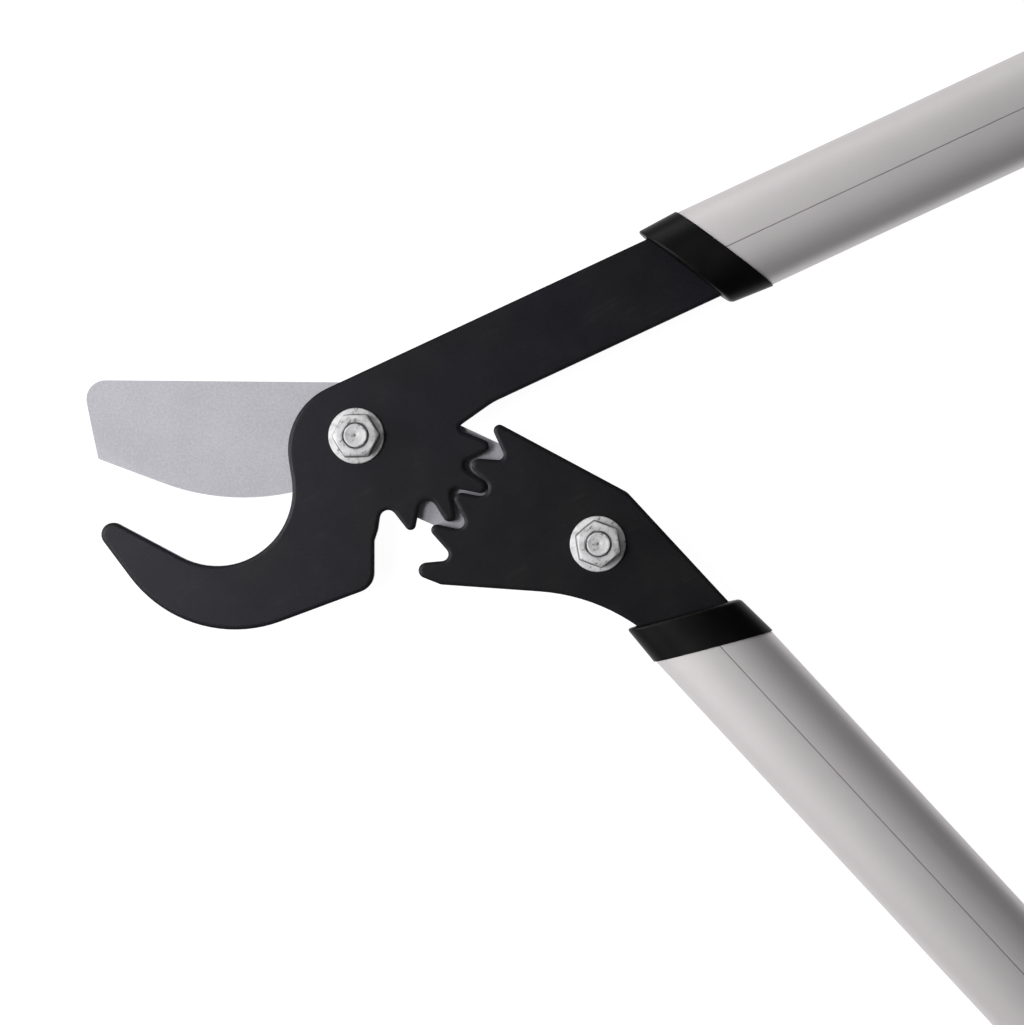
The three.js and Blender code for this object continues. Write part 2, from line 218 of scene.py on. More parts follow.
# evenly blasted steel with fine lines left by the rolling
def makeBladeSteel():
    look = bladeLook
    finish = Finish("bladeSteel", 0.62, 0.55, Specular_IOR_Level=0.4)
    grain = finish.noise(finish.place, look["grainScale"], 3.0, 0.6)
    clouds = finish.noise(finish.place, look["cloudScale"], 3.0)
    lines = finish.noise(finish.mapped(scale=look["grindLines"]), 1.0, 2.0)
    speckle = (clouds * 0.3 + grain * 0.7).rise(0.3, 0.7)
    finish.colour(finish.mix(speckle, look["dark"], look["light"]))
    finish.roughness(0.56 + 0.1 * grain + 0.06 * clouds)
    finish.bump(grain * 0.8 + lines * 0.4, look["bumpDepth"] * mm)
    return finish.material


blackLook = {
    "coat": shade(0.0064, 0.0058, 0.0104),
    "neutral": shade(0.006, 0.006, 0.0056),
    "speck": shade(0.0016, 0.0014, 0.0024),
    "rubbed": shade(0.014, 0.0125, 0.012),
    "glossTint": shade(0.93, 0.91, 1.0),
    "grainScale": 2200,
    "cloudScale": 90,
    "patchScale": 24,
    "bumpDepth": 0.018,
}


# blackened steel with a fine grain and a few rubbed patches
def makeBlackCoat():
    look = blackLook
    gloss = {"Specular_IOR_Level": 0.24, "Specular_Tint": look["glossTint"]}
    finish = Finish("blackCoat", 0.42, 0.0, **gloss)
    grain = finish.noise(finish.place, look["grainScale"], 3.0, 0.65)
    clouds = finish.noise(finish.place, look["cloudScale"], 4.0)
    strokes = finish.noise(finish.mapped(turn=0.5, scale=(90, 900, 900)), 1.0, 3.0)
    rubbed = clouds.rise(0.5, 0.68) * strokes.rise(0.52, 0.7)
    patches = finish.noise(finish.place, look["patchScale"], 2.0)
    full = finish.mix(patches.rise(0.42, 0.58), look["coat"], look["neutral"])
    coat = finish.mix((clouds * 0.4 + grain * 0.6).rise(0.35, 0.65), look["speck"], full)
    finish.colour(finish.mix(rubbed * 0.5, coat, look["rubbed"]))
    finish.roughness(0.325 + 0.06 * grain + 0.03 * clouds)
    finish.bump(grain * 0.8 + strokes * 0.2, look["bumpDepth"] * mm)
    return finish.material


zincLook = {
    "bright": shade(0.73, 0.73, 0.735),
    "dull": shade(0.61, 0.61, 0.62),
    "stainAndPaintedShade": shade(0.13, 0.125, 0.11),
    "grainScale": 1800,
    "cloudScale": 380,
    "ringPitch": 0.32,
    "bumpDepth": 0.014,
    "footHeight": 1.4,  # of the hexagon above its seat, where painted shade darkens the corner
    "footFade": (0.06, 0.3, 0.8),  # heights over the foot where the painted shade is full, fades and ends
    "pitFade": (0.45, 0.8),  # radii in which the darkening of the centre mark fades
    "pitRagged": 0.5,
}


# zinc plate with faint turned rings round the pivot, wrench scuffs, a few dark stains, painted
# shade at the hexagon's foot and a darker centre mark
def makeZinc(label):
    look = zincLook
    finish = Finish(f"{label}Zinc", 0.5, 0.85, Specular_IOR_Level=0.5)
    centred = finish.mapped(centre=pivots[label])
    x, y = finish.axes(centred)[:2]
    height = finish.axes(finish.place)[2]
    reach = (x * x + y * y).root()
    rings = (reach * (2 * math.pi / (look["ringPitch"] * mm))).sine()
    grain = finish.noise(finish.place, look["grainScale"], 3.0)
    clouds = finish.noise(centred, look["cloudScale"], 4.0, 0.65)
    scuff = finish.noise(finish.mapped(turn=0.9, scale=(420, 2100, 1200)), 1.0, 4.0, 0.6)
    stained = clouds.rise(0.54, 0.6) * scuff.rise(0.5, 0.58)
    plain = finish.mix(clouds.rise(0.35, 0.65), look["bright"], look["dull"])
    foot = heightsOf(f"{label}_nut")[0] + look["footHeight"] * mm
    full, fades, ends = [foot + step * mm for step in look["footFade"]]
    # painted shade in the corner where the hexagon meets its flange
    paintedFootShade = height.rise(foot, full) * (1 - height.rise(fades, ends))
    near, far = [radius * mm for radius in look["pitFade"]]
    # darker in and round the centre mark, with a ragged edge
    pitted = 1 - (reach + clouds * (look["pitRagged"] * mm)).rise(near, far)
    spotted = finish.mix(stained * 0.75, plain, look["stainAndPaintedShade"])
    # one dark colour serves the stains, the painted shade at the hexagon's foot and the darker
    # centre mark
    finish.colour(finish.mix(paintedFootShade * 0.85 + pitted * 0.7, spotted, look["stainAndPaintedShade"]))
    finish.roughness(0.6 + 0.1 * clouds + 0.08 * scuff)
    finish.bump(rings * 0.12 + grain * 0.5 + scuff * 0.9, look["bumpDepth"] * mm)
    return finish.material


tubeLook = {
    "light": shade(0.69, 0.668, 0.672),
    "dark": shade(0.62, 0.598, 0.603),
    # painted shade in the seam's groove
    "seamPaintedShade": shade(0.2, 0.19, 0.195),
    "edgeTint": shade(0.72, 0.71, 0.71),
    "seamWidth": 0.24,
    "seamCore": 0.4,  # share of the seam's width that is fully dark
    "grainScale": 1500,
    "cloudScale": 45,
    "drawnLines": (25, 2500, 2500),
    "bumpDepth": 0.008,
}


# drawn tube with lines along the handle and a fine seam on the crest, a shallow bumped groove with
# painted shade in it
def makeTubeMetal(name, place, seamOffset):
    look = tubeLook
    finish = Finish(name, 0.6, 1.0, Specular_Tint=look["edgeTint"])
    turn = math.atan2(place[1][0], place[0][0])
    centred = finish.mapped(centre=place.translation, turn=turn)
    along, across, up = finish.axes(centred)
    lines = finish.noise(finish.mapped(turn=turn, scale=look["drawnLines"]), 1.0, 3.0)
    grain = finish.noise(finish.place, look["grainScale"], 3.0)
    clouds = finish.noise(finish.place, look["cloudScale"], 4.0, 0.6)
    fromSeam = abs(across - seamOffset * mm)
    width = look["seamWidth"] * mm
    line = 1 - fromSeam.rise(width * look["seamCore"], width)
    seam = line * up.rise(0, 2 * mm)
    plain = finish.mix(clouds * 0.6 + lines * 0.4, look["dark"], look["light"])
    # the seam is darkened with painted shade
    finish.colour(finish.mix(seam * 0.75, plain, look["seamPaintedShade"]))
    finish.roughness(0.52 + 0.1 * grain + 0.08 * lines)
    finish.bump(lines * 0.5 + grain * 0.4 - seam * 3.0, look["bumpDepth"] * mm)
    return finish.material


collarLook = {
    "plastic": shade(0.0012, 0.001, 0.001),
    "rubbed": shade(0.0036, 0.0027, 0.0026),
    "grainScale": 1400,
    "cloudScale": 110,
    "partingWidth": 0.16,
    "partingCore": 0.3,  # share of the line's width at full height
    "bumpDepth": 0.008,
}


# dull black plastic with a fine parting line at half height
def makeCollarPlastic():
    look = collarLook
    finish = Finish("collarPlastic", 0.35, 0.0, Specular_IOR_Level=0.13)
    grain = finish.noise(finish.place, look["grainScale"], 2.0)
    clouds = finish.noise(finish.place, look["cloudScale"], 3.0)
    fromParting = abs(finish.axes(finish.place)[2] - handlePlane)
    width = look["partingWidth"] * mm
    parting = 1 - fromParting.rise(width * look["partingCore"], width)
    finish.colour(finish.mix(clouds.rise(0.4, 0.7), look["plastic"], look["rubbed"]))
    finish.roughness(0.3 + 0.1 * clouds + 0.05 * grain)
    finish.bump(grain * 0.4 + parting * 4.0, look["bumpDepth"] * mm)
    return finish.material


rubberLook = {
    "rubber": shade(0.013, 0.013, 0.014),
    "dusty": shade(0.03, 0.029, 0.028),
    "poreScale": 1100,
    "grainScale": 700,
    "cloudScale": 70,
    "bumpDepth": 0.05,
}


# matt rubber with pores and a little dust
def makeGripRubber():
    look = rubberLook
    finish = Finish("gripRubber", 0.75, 0.0, Specular_IOR_Level=0.35)
    cells = {"Vector": finish.place, "Scale": look["poreScale"]}
    pores = finish.add("ShaderNodeTexVoronoi", {}, cells)
    grain = finish.noise(finish.place, look["grainScale"], 4.0, 0.6)
    clouds = finish.noise(finish.place, look["cloudScale"], 3.0)
    finish.colour(finish.mix(clouds.rise(0.4, 0.75), look["rubber"], look["dusty"]))
    finish.roughness(0.66 + 0.2 * grain)
    finish.bump(pores * 0.7 + grain * 0.6, look["bumpDepth"] * mm)
    return finish.material


bladeSteel = makeBladeSteel()
blackCoat = makeBlackCoat()
zinc = {label: makeZinc(label) for label in pivots}
seamOffsets = {"upper": 0.0, "lower": 1.4}  # mm from the handle's middle line
tubeMetal = {
    label: makeTubeMetal(f"{label}TubeMetal", handles[label], seamOffsets[label])
    for label in handles
}
collarPlastic = makeCollarPlastic()
gripRubber = makeGripRubber()
print("finishes made")


mergeWithin = 0.002  # mm
flatWithin = 0.5  # degrees


# a node's mesh with its loose triangles merged and its flat faces joined
def cadCopy(node):
    mesh = bmesh.new()
    mesh.from_mesh(nodes[node].data)
    bmesh.ops.remove_doubles(mesh, verts=mesh.verts, dist=mergeWithin * mm)
    flat = math.radians(flatWithin)
    bmesh.ops.dissolve_limit(mesh, angle_limit=flat, verts=mesh.verts, edges=mesh.edges)
    return mesh


# round the edges sharper than an angle, over a width in millimetres
def softenEdges(mesh, width, segments, sharperThan=30, only=None):
    limit = math.radians(sharperThan)
    edges = [edge for edge in mesh.edges if edge.is_manifold and edge.calc_face_angle(0) > limit]
    if only:
        edges = [edge for edge in edges if only(edge)]
    bmesh.ops.bevel(
        mesh,
        geom=edges,
        offset=width * mm,
        offset_type="OFFSET",
        segments=segments,
        profile=0.5,
        affect="EDGES",
        material=-1,
        clamp_overlap=True,
    )


# face directions are worked out from the places that the corners have now
def turnOutward(mesh):
    mesh.normal_update()
    bmesh.ops.recalc_face_normals(mesh, faces=mesh.faces)


# A stack of rings round the Z axis. Each ring is a function from an angle to a point.
# The ends are closed by a face each, or joined to each other through the middle.
def ringStack(rings, segments, joined=False):
    mesh = bmesh.new()
    bmesh.ops.create_circle(mesh, segments=segments, radius=1, cap_ends=False)
    edges = mesh.edges[:]
    firstEdges = edges
    for _ in rings[1:]:
        grown = bmesh.ops.extrude_edge_only(mesh, edges=edges)["geom"]
        verts = [item for item in grown if isinstance(item, bmesh.types.BMVert)]
        fresh = set(verts)
        edges = [
            item
            for item in grown
            if isinstance(item, bmesh.types.BMEdge) and fresh.issuperset(item.verts)
        ]
        bmesh.ops.translate(mesh, verts=verts, vec=(0, 0, 1))
    if joined:
        bmesh.ops.bridge_loops(mesh, edges=firstEdges + edges)
    else:
        bmesh.ops.contextual_create(mesh, geom=firstEdges)
        bmesh.ops.contextual_create(mesh, geom=edges)
    for vertex in mesh.verts:
        ring = rings[round(vertex.co.z)]
        vertex.co = ring(math.atan2(vertex.co.y, vertex.co.x))
    turnOutward(mesh)
    return mesh


# millimetre radius and height, round the Z axis
def roundRing(radius, height):
    return lambda angle: Vector((radius * math.cos(angle), radius * math.sin(angle), height)) * mm


# keep the edges over an angle crisp in the shading
def markSharp(mesh, over, where=None):
    for edge in mesh.edges:
        if edge.is_manifold and edge.calc_face_angle(0) > math.radians(over):
            if where is None or where(edge):
                edge.smooth = False


# make the piece, tie it to its body, give it its material and hide the nodes it stands for
def finishPiece(mesh, name, body, material, replaced, smoothUnder=40):
    markSharp(mesh, smoothUnder)
    for face in mesh.faces:
        face.smooth = True
    data = bpy.data.meshes.new(name)
    mesh.to_mesh(data)
    mesh.free()
    data.materials.append(material)
    piece = bpy.data.objects.new(name, data)
    bpy.context.scene.collection.objects.link(piece)
    even = piece.modifiers.new("evenNormals", "WEIGHTED_NORMAL")
    even.keep_sharp = True
    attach(piece, body)
    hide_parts(*replaced)
    return piece


bladeSettings = {
    "edgeRound": 0.2,
    "honeStart": (3.9, -1.3),  # from the nose side of the box and from the main pivot, in mm
    "honeHeading": -29.8,  # degrees
    "honeTilt": 5.5,
    "faceLinesOver": 2,  # degrees between the faces on top whose border stays crisp
}


# a light hone on the front of the nose, cut off by a plane tilted about a line in the face
def honeNose(mesh):
    settings = bladeSettings
    low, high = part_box("blade")
    start = settings["honeStart"]
    place = Vector((low[0] + start[0] * mm, pivots["main"].y + start[1] * mm, high[2]))
    heading = math.radians(settings["honeHeading"])
    along = Vector((math.cos(heading), math.sin(heading), 0))
    normal = Vector((0, 0, 1))
    normal.rotate(Matrix.Rotation(math.radians(settings["honeTilt"]), 3, along))
    everything = mesh.verts[:] + mesh.edges[:] + mesh.faces[:]
    cut = bmesh.ops.bisect_plane(
        mesh, geom=everything, dist=1e-7, plane_co=place, plane_no=normal, clear_outer=True
    )
    rim = [item for item in cut["geom_cut"] if isinstance(item, bmesh.types.BMEdge)]
    bmesh.ops.contextual_create(mesh, geom=rim)
    turnOutward(mesh)


def facesUp(edge):
    return all(face.normal.z > 0.98 for face in edge.link_faces)


def makeBlade():
    mesh = cadCopy("blade")
    honeNose(mesh)
    softenEdges(mesh, bladeSettings["edgeRound"], 2)
    markSharp(mesh, bladeSettings["faceLinesOver"], facesUp)
    finishPiece(mesh, "bladePlate", "blade", bladeSteel, ["blade"])
    print("blade made")


# millimetres and degrees; the blanking die draws the rim down in a soft curve before the corner
plateSettings = {
    "rollWidth": 0.7,
    "rollDrop": 0.06,
    "shoulderDepths": (0.5, 0.9),  # between which the shoulder lies under the face
    "shoulderLift": 0.5,
    "cornerRound": 0.2,
    "cornersOver": 50,
    "segments": 2,
}


# side is 1 for the top face and -1 for the underside
def rollRim(mesh, side):
    settings = plateSettings
    level = (plateTop if side > 0 else plateBottom) / mm
    shallow, deep = settings["shoulderDepths"]
    shoulder = [vert for vert in mesh.verts if shallow < (level - vert.co.z / mm) * side < deep]
    bmesh.ops.translate(mesh, verts=shoulder, vec=(0, 0, side * settings["shoulderLift"] * mm))
    faces = [face for face in mesh.faces if face.normal.z * side > 0.99]
    width = settings["rollWidth"] * mm
    rim = bmesh.ops.inset_region(
        mesh, faces=faces, thickness=width, use_boundary=True, use_even_offset=True
    )["faces"]
    inside = {vert for face in faces for vert in face.verts}
    outer = {vert for face in rim for vert in face.verts} - inside
    bmesh.ops.translate(mesh, verts=list(outer), vec=(0, 0, -side * settings["rollDrop"] * mm))


def makeLeverPlate(name, node, body):
    settings = plateSettings
    mesh = cadCopy(node)
    rollRim(mesh, 1)
    rollRim(mesh, -1)
    softenEdges(mesh, settings["cornerRound"], settings["segments"], settings["cornersOver"])
    finishPiece(mesh, name, body, blackCoat, [node])
    print(name, "made")


# lengths of the bolts, nuts and washers in millimetres, angles in degrees
boltSettings = {
    "radius": 4.0,  # of the shank
    "acrossFlats": 13.0,
    "flange": 8.95,
    "coneStart": 1.3,
    "coneSlope": 0.04,
    "bore": 4.2,
    "boreChamfer": 0.3,
    "threadDepth": 0.35,
    "endRadius": 3.66,
    "dimple": 0.55,
    "dimpleDepth": 0.45,
    "chamferStart": 0.97,  # share of half the width across flats
    "chamferAngle": 28,
    "washerRound": 0.18,
    "segments": 96,
}
hexTurns = {"main": math.radians(2), "gear": math.radians(-20.5)}


# distance of the hexagon's outline from the axis at an angle
def hexReach(angle, turn, flat):
    share = (angle - turn) % (math.pi / 3) - math.pi / 6
    return flat / math.cos(share)


# a ring that follows the hexagon, drawn in by an inset and cut down by the chamfer's cone
def hexRing(turn, inset, heightAt):
    flat = boltSettings["acrossFlats"] / 2

    def place(angle):
        reach = hexReach(angle, turn, flat) - inset
        return Vector((reach * math.cos(angle), reach * math.sin(angle), heightAt(reach))) * mm

    return place


# rings of a flanged hexagon from the flange's seat at zero up to the hexagon's rim
def flangedHexRings(height, turn):
    flat = boltSettings["acrossFlats"] / 2
    flange = boltSettings["flange"]
    start = boltSettings["coneStart"]
    slope = math.tan(math.radians(boltSettings["chamferAngle"]))
    chamfer = flat * boltSettings["chamferStart"]

    def onCone(reach):
        return start + (flange - reach) * boltSettings["coneSlope"]

    def underChamfer(reach):
        return height - max(0, reach - chamfer) * slope

    return [
        roundRing(flange - 0.3, 0),
        roundRing(flange - 0.05, 0.2),
        roundRing(flange, 0.5),
        roundRing(flange, start - 0.35),
        roundRing(flange - 0.08, start - 0.1),
        roundRing(flange - 0.32, start + 0.08),
        hexRing(turn, -0.6, onCone),
        hexRing(turn, -0.25, lambda reach: onCone(reach) + 0.12),
        hexRing(turn, -0.05, lambda reach: onCone(reach) + 0.3),
        hexRing(turn, 0, lambda reach: onCone(reach) + 0.5),
        hexRing(turn, 0, lambda reach: underChamfer(reach) - 0.22),
        hexRing(turn, 0.07, lambda reach: underChamfer(reach + 0.07) - 0.06),
        hexRing(turn, 0.28, lambda reach: underChamfer(reach + 0.05)),
        roundRing(flat * 0.955, height),
    ]


def makeNut(label):
    settings = boltSettings
    low, high = heightsOf(f"{label}_nut")
    height = (high - low) / mm
    bore = settings["bore"]
    chamfer = settings["boreChamfer"]
    rings = flangedHexRings(height, hexTurns[label])
    rings += [
        roundRing(bore + chamfer + 0.12, height),
        roundRing(bore + chamfer, height - 0.06),
        roundRing(bore, height - chamfer),
        roundRing(bore, chamfer),
        roundRing(bore + chamfer, 0),
    ]
    mesh = ringStack(rings, settings["segments"], joined=True)
    seat = Vector((pivots[label].x, pivots[label].y, low))
    bmesh.ops.translate(mesh, verts=mesh.verts, vec=seat)
    finishPiece(mesh, f"{label}FlangeNut", "blade", zinc[label], [f"{label}_nut"])


def makeBolt(label):
    settings = boltSettings
    low, high = heightsOf(f"{label}_bolt")
    headTop = heightsOf(f"{label}_spring_washer")[0] / mm
    nutTop = heightsOf(f"{label}_nut")[1] / mm
    tip = high / mm
    radius = settings["radius"]
    head = flangedHexRings(headTop, hexTurns[label])

    def upsideDown(ring):
        def place(angle):
            point = ring(angle)
            point.z = headTop * mm - point.z
            return point

        return place

    rings = [roundRing(0.4, 0)]
    rings += [upsideDown(ring) for ring in reversed(head)]
    root = radius - settings["threadDepth"]
    end = settings["endRadius"]
    dimple = settings["dimple"]
    rings += [
        roundRing(radius, headTop),
        roundRing(radius, nutTop - 3),
        roundRing(root, nutTop - 2.6),
        roundRing(root, nutTop - 1.6),
        roundRing(radius, nutTop - 1.2),
        roundRing(radius - 0.04, nutTop - 1.0),
        roundRing(end + 0.04, nutTop - 0.6),
        roundRing(end, nutTop + 0.2),
        roundRing(end, tip - 0.16),
        roundRing(end - 0.05, tip - 0.05),
        roundRing(end - 0.2, tip),
        roundRing(end - 0.6, tip - 0.01),
        roundRing(end - 0.72, tip - 0.05),
        roundRing(radius * 0.5, tip - 0.04),
        roundRing(dimple + 0.1, tip - 0.05),
        roundRing(dimple, tip - 0.1),
        roundRing(0.12, tip - settings["dimpleDepth"]),
    ]
    mesh = ringStack(rings, settings["segments"])
    place = Vector((pivots[label].x, pivots[label].y, low))
    bmesh.ops.translate(mesh, verts=mesh.verts, vec=place)
    finishPiece(mesh, f"{label}Bolt", "blade", zinc[label], [f"{label}_bolt"])


def makeSpringWasher(label):
    node = f"{label}_spring_washer"
    mesh = cadCopy(node)
    softenEdges(mesh, boltSettings["washerRound"], 2)
    finishPiece(mesh, f"{label}SpringWasher", "blade", zinc[label], [node])


def makePivot(label):
    makeNut(label)
    makeBolt(label)
    makeSpringWasher(label)
    nodes[f"{label}_bush"].material_slots[0].material = zinc[label]
    print(label, "pivot made")


ovalPower = 2.3  # of the superellipse that the handles are drawn to
ovalSegments = 72
boreRoom = 0.6  # millimetres between a tube and what it goes through


def ovalPoint(x, width, depth, angle):
    power = 2 / ovalPower
    across = math.copysign(abs(math.cos(angle)) ** power, math.cos(angle)) * width / 2
    deep = math.copysign(abs(math.sin(angle)) ** power, math.sin(angle)) * depth / 2
    return Vector((x, across, deep))


def ovalRing(x, width, depth):
    return lambda angle: ovalPoint(x, width, depth, angle)


# width and depth of the bore of a grip or ring
def handleBore(label, place):
    tubeLow, tubeHigh = stretchOf(f"{label}_tube", place)
    return tubeHigh.y - tubeLow.y + boreRoom * mm, tubeHigh.z - tubeLow.z + boreRoom * mm


collarSettings = {
    "mouthRound": 1.1,
    "lipRound": 0.3,
    "outerShare": 0.72,  # of the way out, past which an edge is on the outside
    "cornersOver": 35,
}


# the mouth has a large round outside, and every other corner a small one
def makeCollar(label, place):
    settings = collarSettings
    node = f"{label}_collar"
    low, high = stretchOf(node, place)
    middle = (low + high) / 2
    half = (high - low) / 2
    back = place.inverted()
    mesh = cadCopy(node)

    def isOuter(edge):
        spot = back @ ((edge.verts[0].co + edge.verts[1].co) / 2) - middle
        share = abs(spot.y / half.y) ** ovalPower + abs(spot.z / half.z) ** ovalPower
        return share > settings["outerShare"]

    def atMouth(edge):
        forward = [(back.to_3x3() @ face.normal).x for face in edge.link_faces]
        return min(forward) < -0.7 and isOuter(edge)

    softenEdges(mesh, settings["mouthRound"], 4, settings["cornersOver"], atMouth)
    softenEdges(mesh, settings["lipRound"], 2, settings["cornersOver"])
    body = f"{label}_lever"
    finishPiece(mesh, f"{label}Collar", body, collarPlastic, [node])


tubeSettings = {"endRound": 0.25, "cornersOver": 35}


def makeTube(label):
    mesh = cadCopy(f"{label}_tube")
    softenEdges(mesh, tubeSettings["endRound"], 2, tubeSettings["cornersOver"])
    body = f"{label}_lever"
    finishPiece(mesh, f"{label}Tube", body, tubeMetal[label], [f"{label}_tube"])


rivetSettings = {"segments": 40, "pin": 1.1, "headDepth": 1.8, "shank": 2.4}


def makeRivet(label, number, place):
    node = f"{label}_rivet_{number}"
    settings = rivetSettings
    low, high = stretchOf(node, place)
    head = (high.y - low.y) / 2 / mm
    bottom = low.z / mm
    tip = high.z / mm
    rim = bottom + settings["headDepth"]
    shank = settings["shank"]
    pin = settings["pin"]
    rings = [
        roundRing(0.3, bottom + 0.35),
        roundRing(pin * 0.8, bottom + 0.35),
        roundRing(pin, bottom + 0.02),
        roundRing(head * 0.5, bottom + 0.08),
        roundRing(head * 0.72, bottom + 0.4),
        roundRing(head * 0.9, bottom + 0.95),
        roundRing(head * 0.98, rim - 0.35),
        roundRing(head, rim - 0.15),
        roundRing(head - 0.12, rim),
        roundRing(shank, rim),
        roundRing(shank, tip - 0.4),
        roundRing(shank - 0.4, tip),
    ]
    mesh = ringStack(rings, settings["segments"])
    middle = (low + high) / 2
    bmesh.ops.translate(mesh, verts=mesh.verts, vec=(middle.x, middle.y, 0))
    bmesh.ops.transform(mesh, matrix=place, verts=mesh.verts)
    name = f"{label}Rivet{number}"
    finishPiece(mesh, name, f"{label}_lever", zinc["main"], [node])


gripSettings = {
    "ribPitch": 4.0,
    "ribDepth": 0.9,
    "ribStart": 0.2,
    "ribEnd": 0.82,
    "lipRound": 1.2,
    "waist": 0.9,
    "palmSwell": 0.07,
    "endFlare": 0.1,
}
# one rib and its groove: places as shares of the pitch, drops as shares of the groove's depth
ribProfile = [(0, 0), (0.3, 0), (0.42, 0.8), (0.58, 1), (0.74, 0.8), (0.86, 0)]


# the grip swells at the palm and flares at both ends
def gripScale(share):
    palm = math.sin(math.pi * share) ** 2
    flare = abs(2 * share - 1) ** 6
    settings = gripSettings
    return settings["waist"] + settings["palmSwell"] * palm + settings["endFlare"] * flare


def makeGrip(label, place):
    settings = gripSettings
    node = f"{label}_grip"
    low, high = stretchOf(node, place)
    length = high.x - low.x
    width = high.y - low.y
    depth = high.z - low.z
    largest = max(gripScale(0), gripScale(1))
    rings = []

    def addRing(x, drop):
        size = gripScale((x - low.x) / length) / largest
        rings.append(ovalRing(x, width * size - 2 * drop, depth * size - 2 * drop))

    lip = settings["lipRound"] * mm
    addRing(low.x, lip)
    addRing(low.x + lip * 0.3, lip * 0.3)
    addRing(low.x + lip, 0)
    pitch = settings["ribPitch"] * mm
    groove = settings["ribDepth"] * mm
    x = low.x + 2 * lip
    while x < high.x - 2 * lip:
        share = (x - low.x) / length
        if settings["ribStart"] < share < settings["ribEnd"]:
            for step, drop in ribProfile:
                addRing(x + pitch * step, groove * drop)
        else:
            addRing(x, 0)
        x += pitch
    addRing(high.x - lip, 0)
    addRing(high.x - lip * 0.3, lip * 0.3)
    addRing(high.x, lip)
    bore = handleBore(label, place)
    rings += [ovalRing(high.x, *bore), ovalRing(low.x, *bore)]
    mesh = ringStack(rings, ovalSegments, joined=True)
    bmesh.ops.transform(mesh, matrix=place, verts=mesh.verts)
    name = f"{label}Grip"
    finishPiece(mesh, name, f"{label}_lever", gripRubber, [node], 60)


# half of the ring's round: share of its length, and drop below its widest in millimetres
ringProfile = [(0, 2.2), (0.04, 1.5), (0.12, 0.9), (0.3, 0.4), (0.5, 0.0)]


def makeGripRing(label, place):
    node = f"{label}_grip_ring"
    low, high = stretchOf(node, place)
    length = high.x - low.x
    width = high.y - low.y
    depth = high.z - low.z
    mirrored = [(1 - share, drop) for share, drop in reversed(ringProfile[:-1])]
    rings = [
        ovalRing(low.x + length * share, width - 2 * drop * mm, depth - 2 * drop * mm)
        for share, drop in ringProfile + mirrored
    ]
    bore = handleBore(label, place)
    rings += [ovalRing(high.x, *bore), ovalRing(low.x, *bore)]
    mesh = ringStack(rings, ovalSegments, joined=True)
    bmesh.ops.transform(mesh, matrix=place, verts=mesh.verts)
    name = f"{label}GripRing"
    finishPiece(mesh, name, f"{label}_lever", collarPlastic, [node], 50)


capSettings = {
    "inset": 0.5,  # off the node's width and depth
    "faceGap": 0.3,  # from the tube's end to the cap's flange
    "plugRoom": 3.8,  # between the tube's outside and the plug
    "plugPoint": 2,
    # back from the end, and off the width
    "dome": [(2, 1.6), (0.8, 4), (0.15, 8), (0, 12), (0.2, 13), (0.9, 14.5)],
    "dishDepth": 1.0,
    "middle": 0.2,  # share of the width at which the closing faces start
}


# a plug in the tube and a domed cap with a shallow dish in its end
def makeEndCap(label, place):
    settings = capSettings
    node = f"{label}_end_cap"
    low, high = stretchOf(node, place)
    tubeLow, tubeHigh = stretchOf(f"{label}_tube", place)
    face = tubeHigh.x + settings["faceGap"] * mm
    plugWidth = tubeHigh.y - tubeLow.y - settings["plugRoom"] * mm
    plugDepth = tubeHigh.z - tubeLow.z - settings["plugRoom"] * mm
    width = high.y - low.y - settings["inset"] * mm
    depth = high.z - low.z - settings["inset"] * mm
    point = settings["plugPoint"] * mm
    middle = settings["middle"]

    def capRing(x, off):
        return ovalRing(x, width - off * mm, depth - off * mm)

    rings = [
        ovalRing(low.x, plugWidth * middle, plugDepth * middle),
        ovalRing(low.x, plugWidth - point, plugDepth - point),
        ovalRing(low.x + point / 2, plugWidth, plugDepth),
        ovalRing(face, plugWidth, plugDepth),
        capRing(face, 0.8),
        capRing(face + 0.3 * mm, 0),
        capRing(face + 1.6 * mm, 0),
    ]
    rings += [capRing(high.x - back * mm, off) for back, off in settings["dome"]]
    dish = high.x - settings["dishDepth"] * mm
    rings.append(ovalRing(dish, width * middle, depth * middle))
    mesh = ringStack(rings, ovalSegments)
    bmesh.ops.transform(mesh, matrix=place, verts=mesh.verts)
    name = f"{label}EndCap"
    finishPiece(mesh, name, f"{label}_lever", collarPlastic, [node])


def makeHandle(label):
    place = handles[label]
    makeCollar(label, place)
    makeTube(label)
    makeRivet(label, 1, place)
    makeRivet(label, 2, place)
    makeGripRing(label, place)
    makeGrip(label, place)
    makeEndCap(label, place)
    print(label, "handle made")


makeBlade()
makeLeverPlate("hookPlate", "hook_plate", "upper_lever")
makeLeverPlate("gearPlate", "gear_plate", "lower_lever")
makePivot("main")
makePivot("gear")
makeHandle("upper")
makeHandle("lower")


stageSettings = {
    "floorSize": 8.0,  # metres
    "floorDrop": 0.2,  # mm under the lowest point
    "paper": shade(0.16, 0.16, 0.16),
    "paperRoughness": 0.9,
    "glowColour": shade(1, 1, 1),
    "floorGlow": 0.95,
}


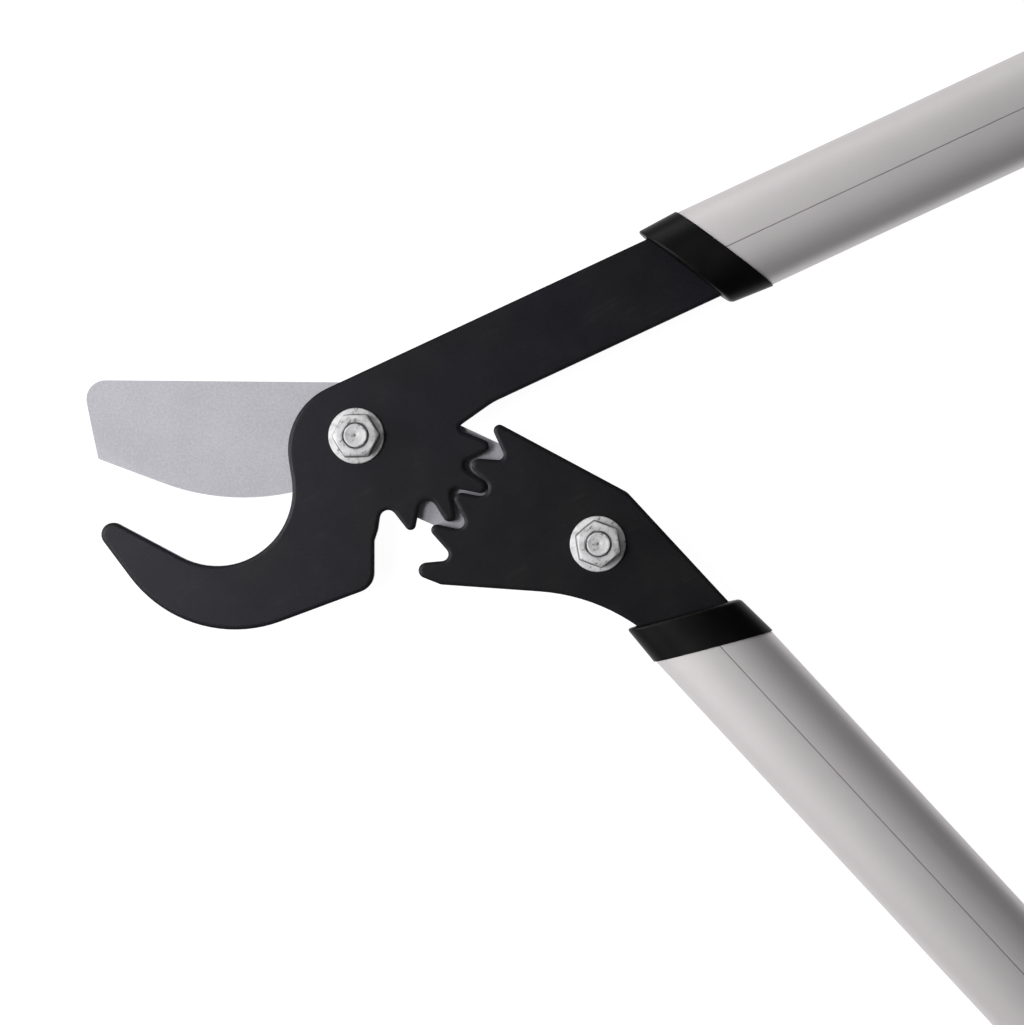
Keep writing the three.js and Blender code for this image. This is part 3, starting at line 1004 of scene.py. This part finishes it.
def makeFloor():
    mesh = bmesh.new()
    settings = stageSettings
    bmesh.ops.create_grid(mesh, x_segments=1, y_segments=1, size=settings["floorSize"] / 2)
    bmesh.ops.translate(mesh, verts=mesh.verts, vec=(0, 0, -settings["floorDrop"] * mm))
    data = bpy.data.meshes.new("floor")
    mesh.to_mesh(data)
    mesh.free()
    finish = Finish("floorPaper", settings["paperRoughness"])
    finish.shader.inputs["Base Color"].default_value = settings["paper"]
    finish.shader.inputs["Emission Color"].default_value = settings["glowColour"]
    finish.shader.inputs["Emission Strength"].default_value = settings["floorGlow"]
    data.materials.append(finish.material)
    floor = bpy.data.objects.new("floor", data)
    bpy.context.scene.collection.objects.link(floor)


# metres and watts
lampTarget = Vector((0.05, -0.03, 0.02))
lampSettings = [
    {"name": "nearSoftbox", "at": (-0.47, 0.0, 1.3), "size": 0.3, "power": 6.0},
    {"name": "leftSoftbox", "at": (-1.4, -0.3, 0.9), "size": 1.2, "power": 22.0},
    {"name": "backSoftbox", "at": (-0.6, 1.3, 0.9), "size": 0.9, "power": 8.0},
]


def makeLamps():
    for lamp in lampSettings:
        data = bpy.data.lights.new(lamp["name"], "AREA")
        data.size = lamp["size"]
        data.energy = lamp["power"]
        light = bpy.data.objects.new(lamp["name"], data)
        light.location = lamp["at"]
        light.rotation_euler = (lampTarget - light.location).to_track_quat("-Z", "Y").to_euler()
        bpy.context.scene.collection.objects.link(light)


worldSettings = {
    "bright": shade(1.0, 1.0, 1.0),
    "dim": shade(0.05, 0.05, 0.052),
    "dimAt": 0.9,  # direction's X, from the dim side to the bright one
    "brightAt": -0.7,
    "strength": 0.24,
}


# soft light that fades from left to right
def makeWorld():
    settings = worldSettings
    world = bpy.data.worlds.new("studio")
    world.use_nodes = True
    bpy.context.scene.world = world
    tree = world.node_tree
    background = tree.nodes["Background"]
    place = tree.nodes.new("ShaderNodeTexCoord")
    split = tree.nodes.new("ShaderNodeSeparateXYZ")
    ramp = tree.nodes.new("ShaderNodeMapRange")
    ramp.inputs["From Min"].default_value = settings["dimAt"]
    ramp.inputs["From Max"].default_value = settings["brightAt"]
    blend = tree.nodes.new("ShaderNodeMix")
    blend.data_type = "RGBA"
    blend.inputs[6].default_value = settings["dim"]
    blend.inputs[7].default_value = settings["bright"]
    tree.links.new(place.outputs["Generated"], split.inputs[0])
    tree.links.new(split.outputs["X"], ramp.inputs["Value"])
    tree.links.new(ramp.outputs[0], blend.inputs[0])
    tree.links.new(blend.outputs[2], background.inputs["Color"])
    background.inputs["Strength"].default_value = settings["strength"]


# height above the plates' top, height and middle of the view there in metres, sensor in mm
cameraSettings = {"above": 1.2, "viewHeight": 0.328, "middle": (0.0498, -0.0245), "sensor": 36}


def makeCamera():
    settings = cameraSettings
    data = bpy.data.cameras.new("camera")
    data.sensor_width = settings["sensor"]
    data.lens = data.sensor_width * settings["above"] / settings["viewHeight"]
    camera = bpy.data.objects.new("camera", data)
    camera.location = (*settings["middle"], plateTop + settings["above"])
    bpy.context.scene.collection.objects.link(camera)
    bpy.context.scene.camera = camera


makeFloor()
makeLamps()
makeWorld()
makeCamera()
bpy.context.scene.view_settings.view_transform = "Standard"
print("stage set")
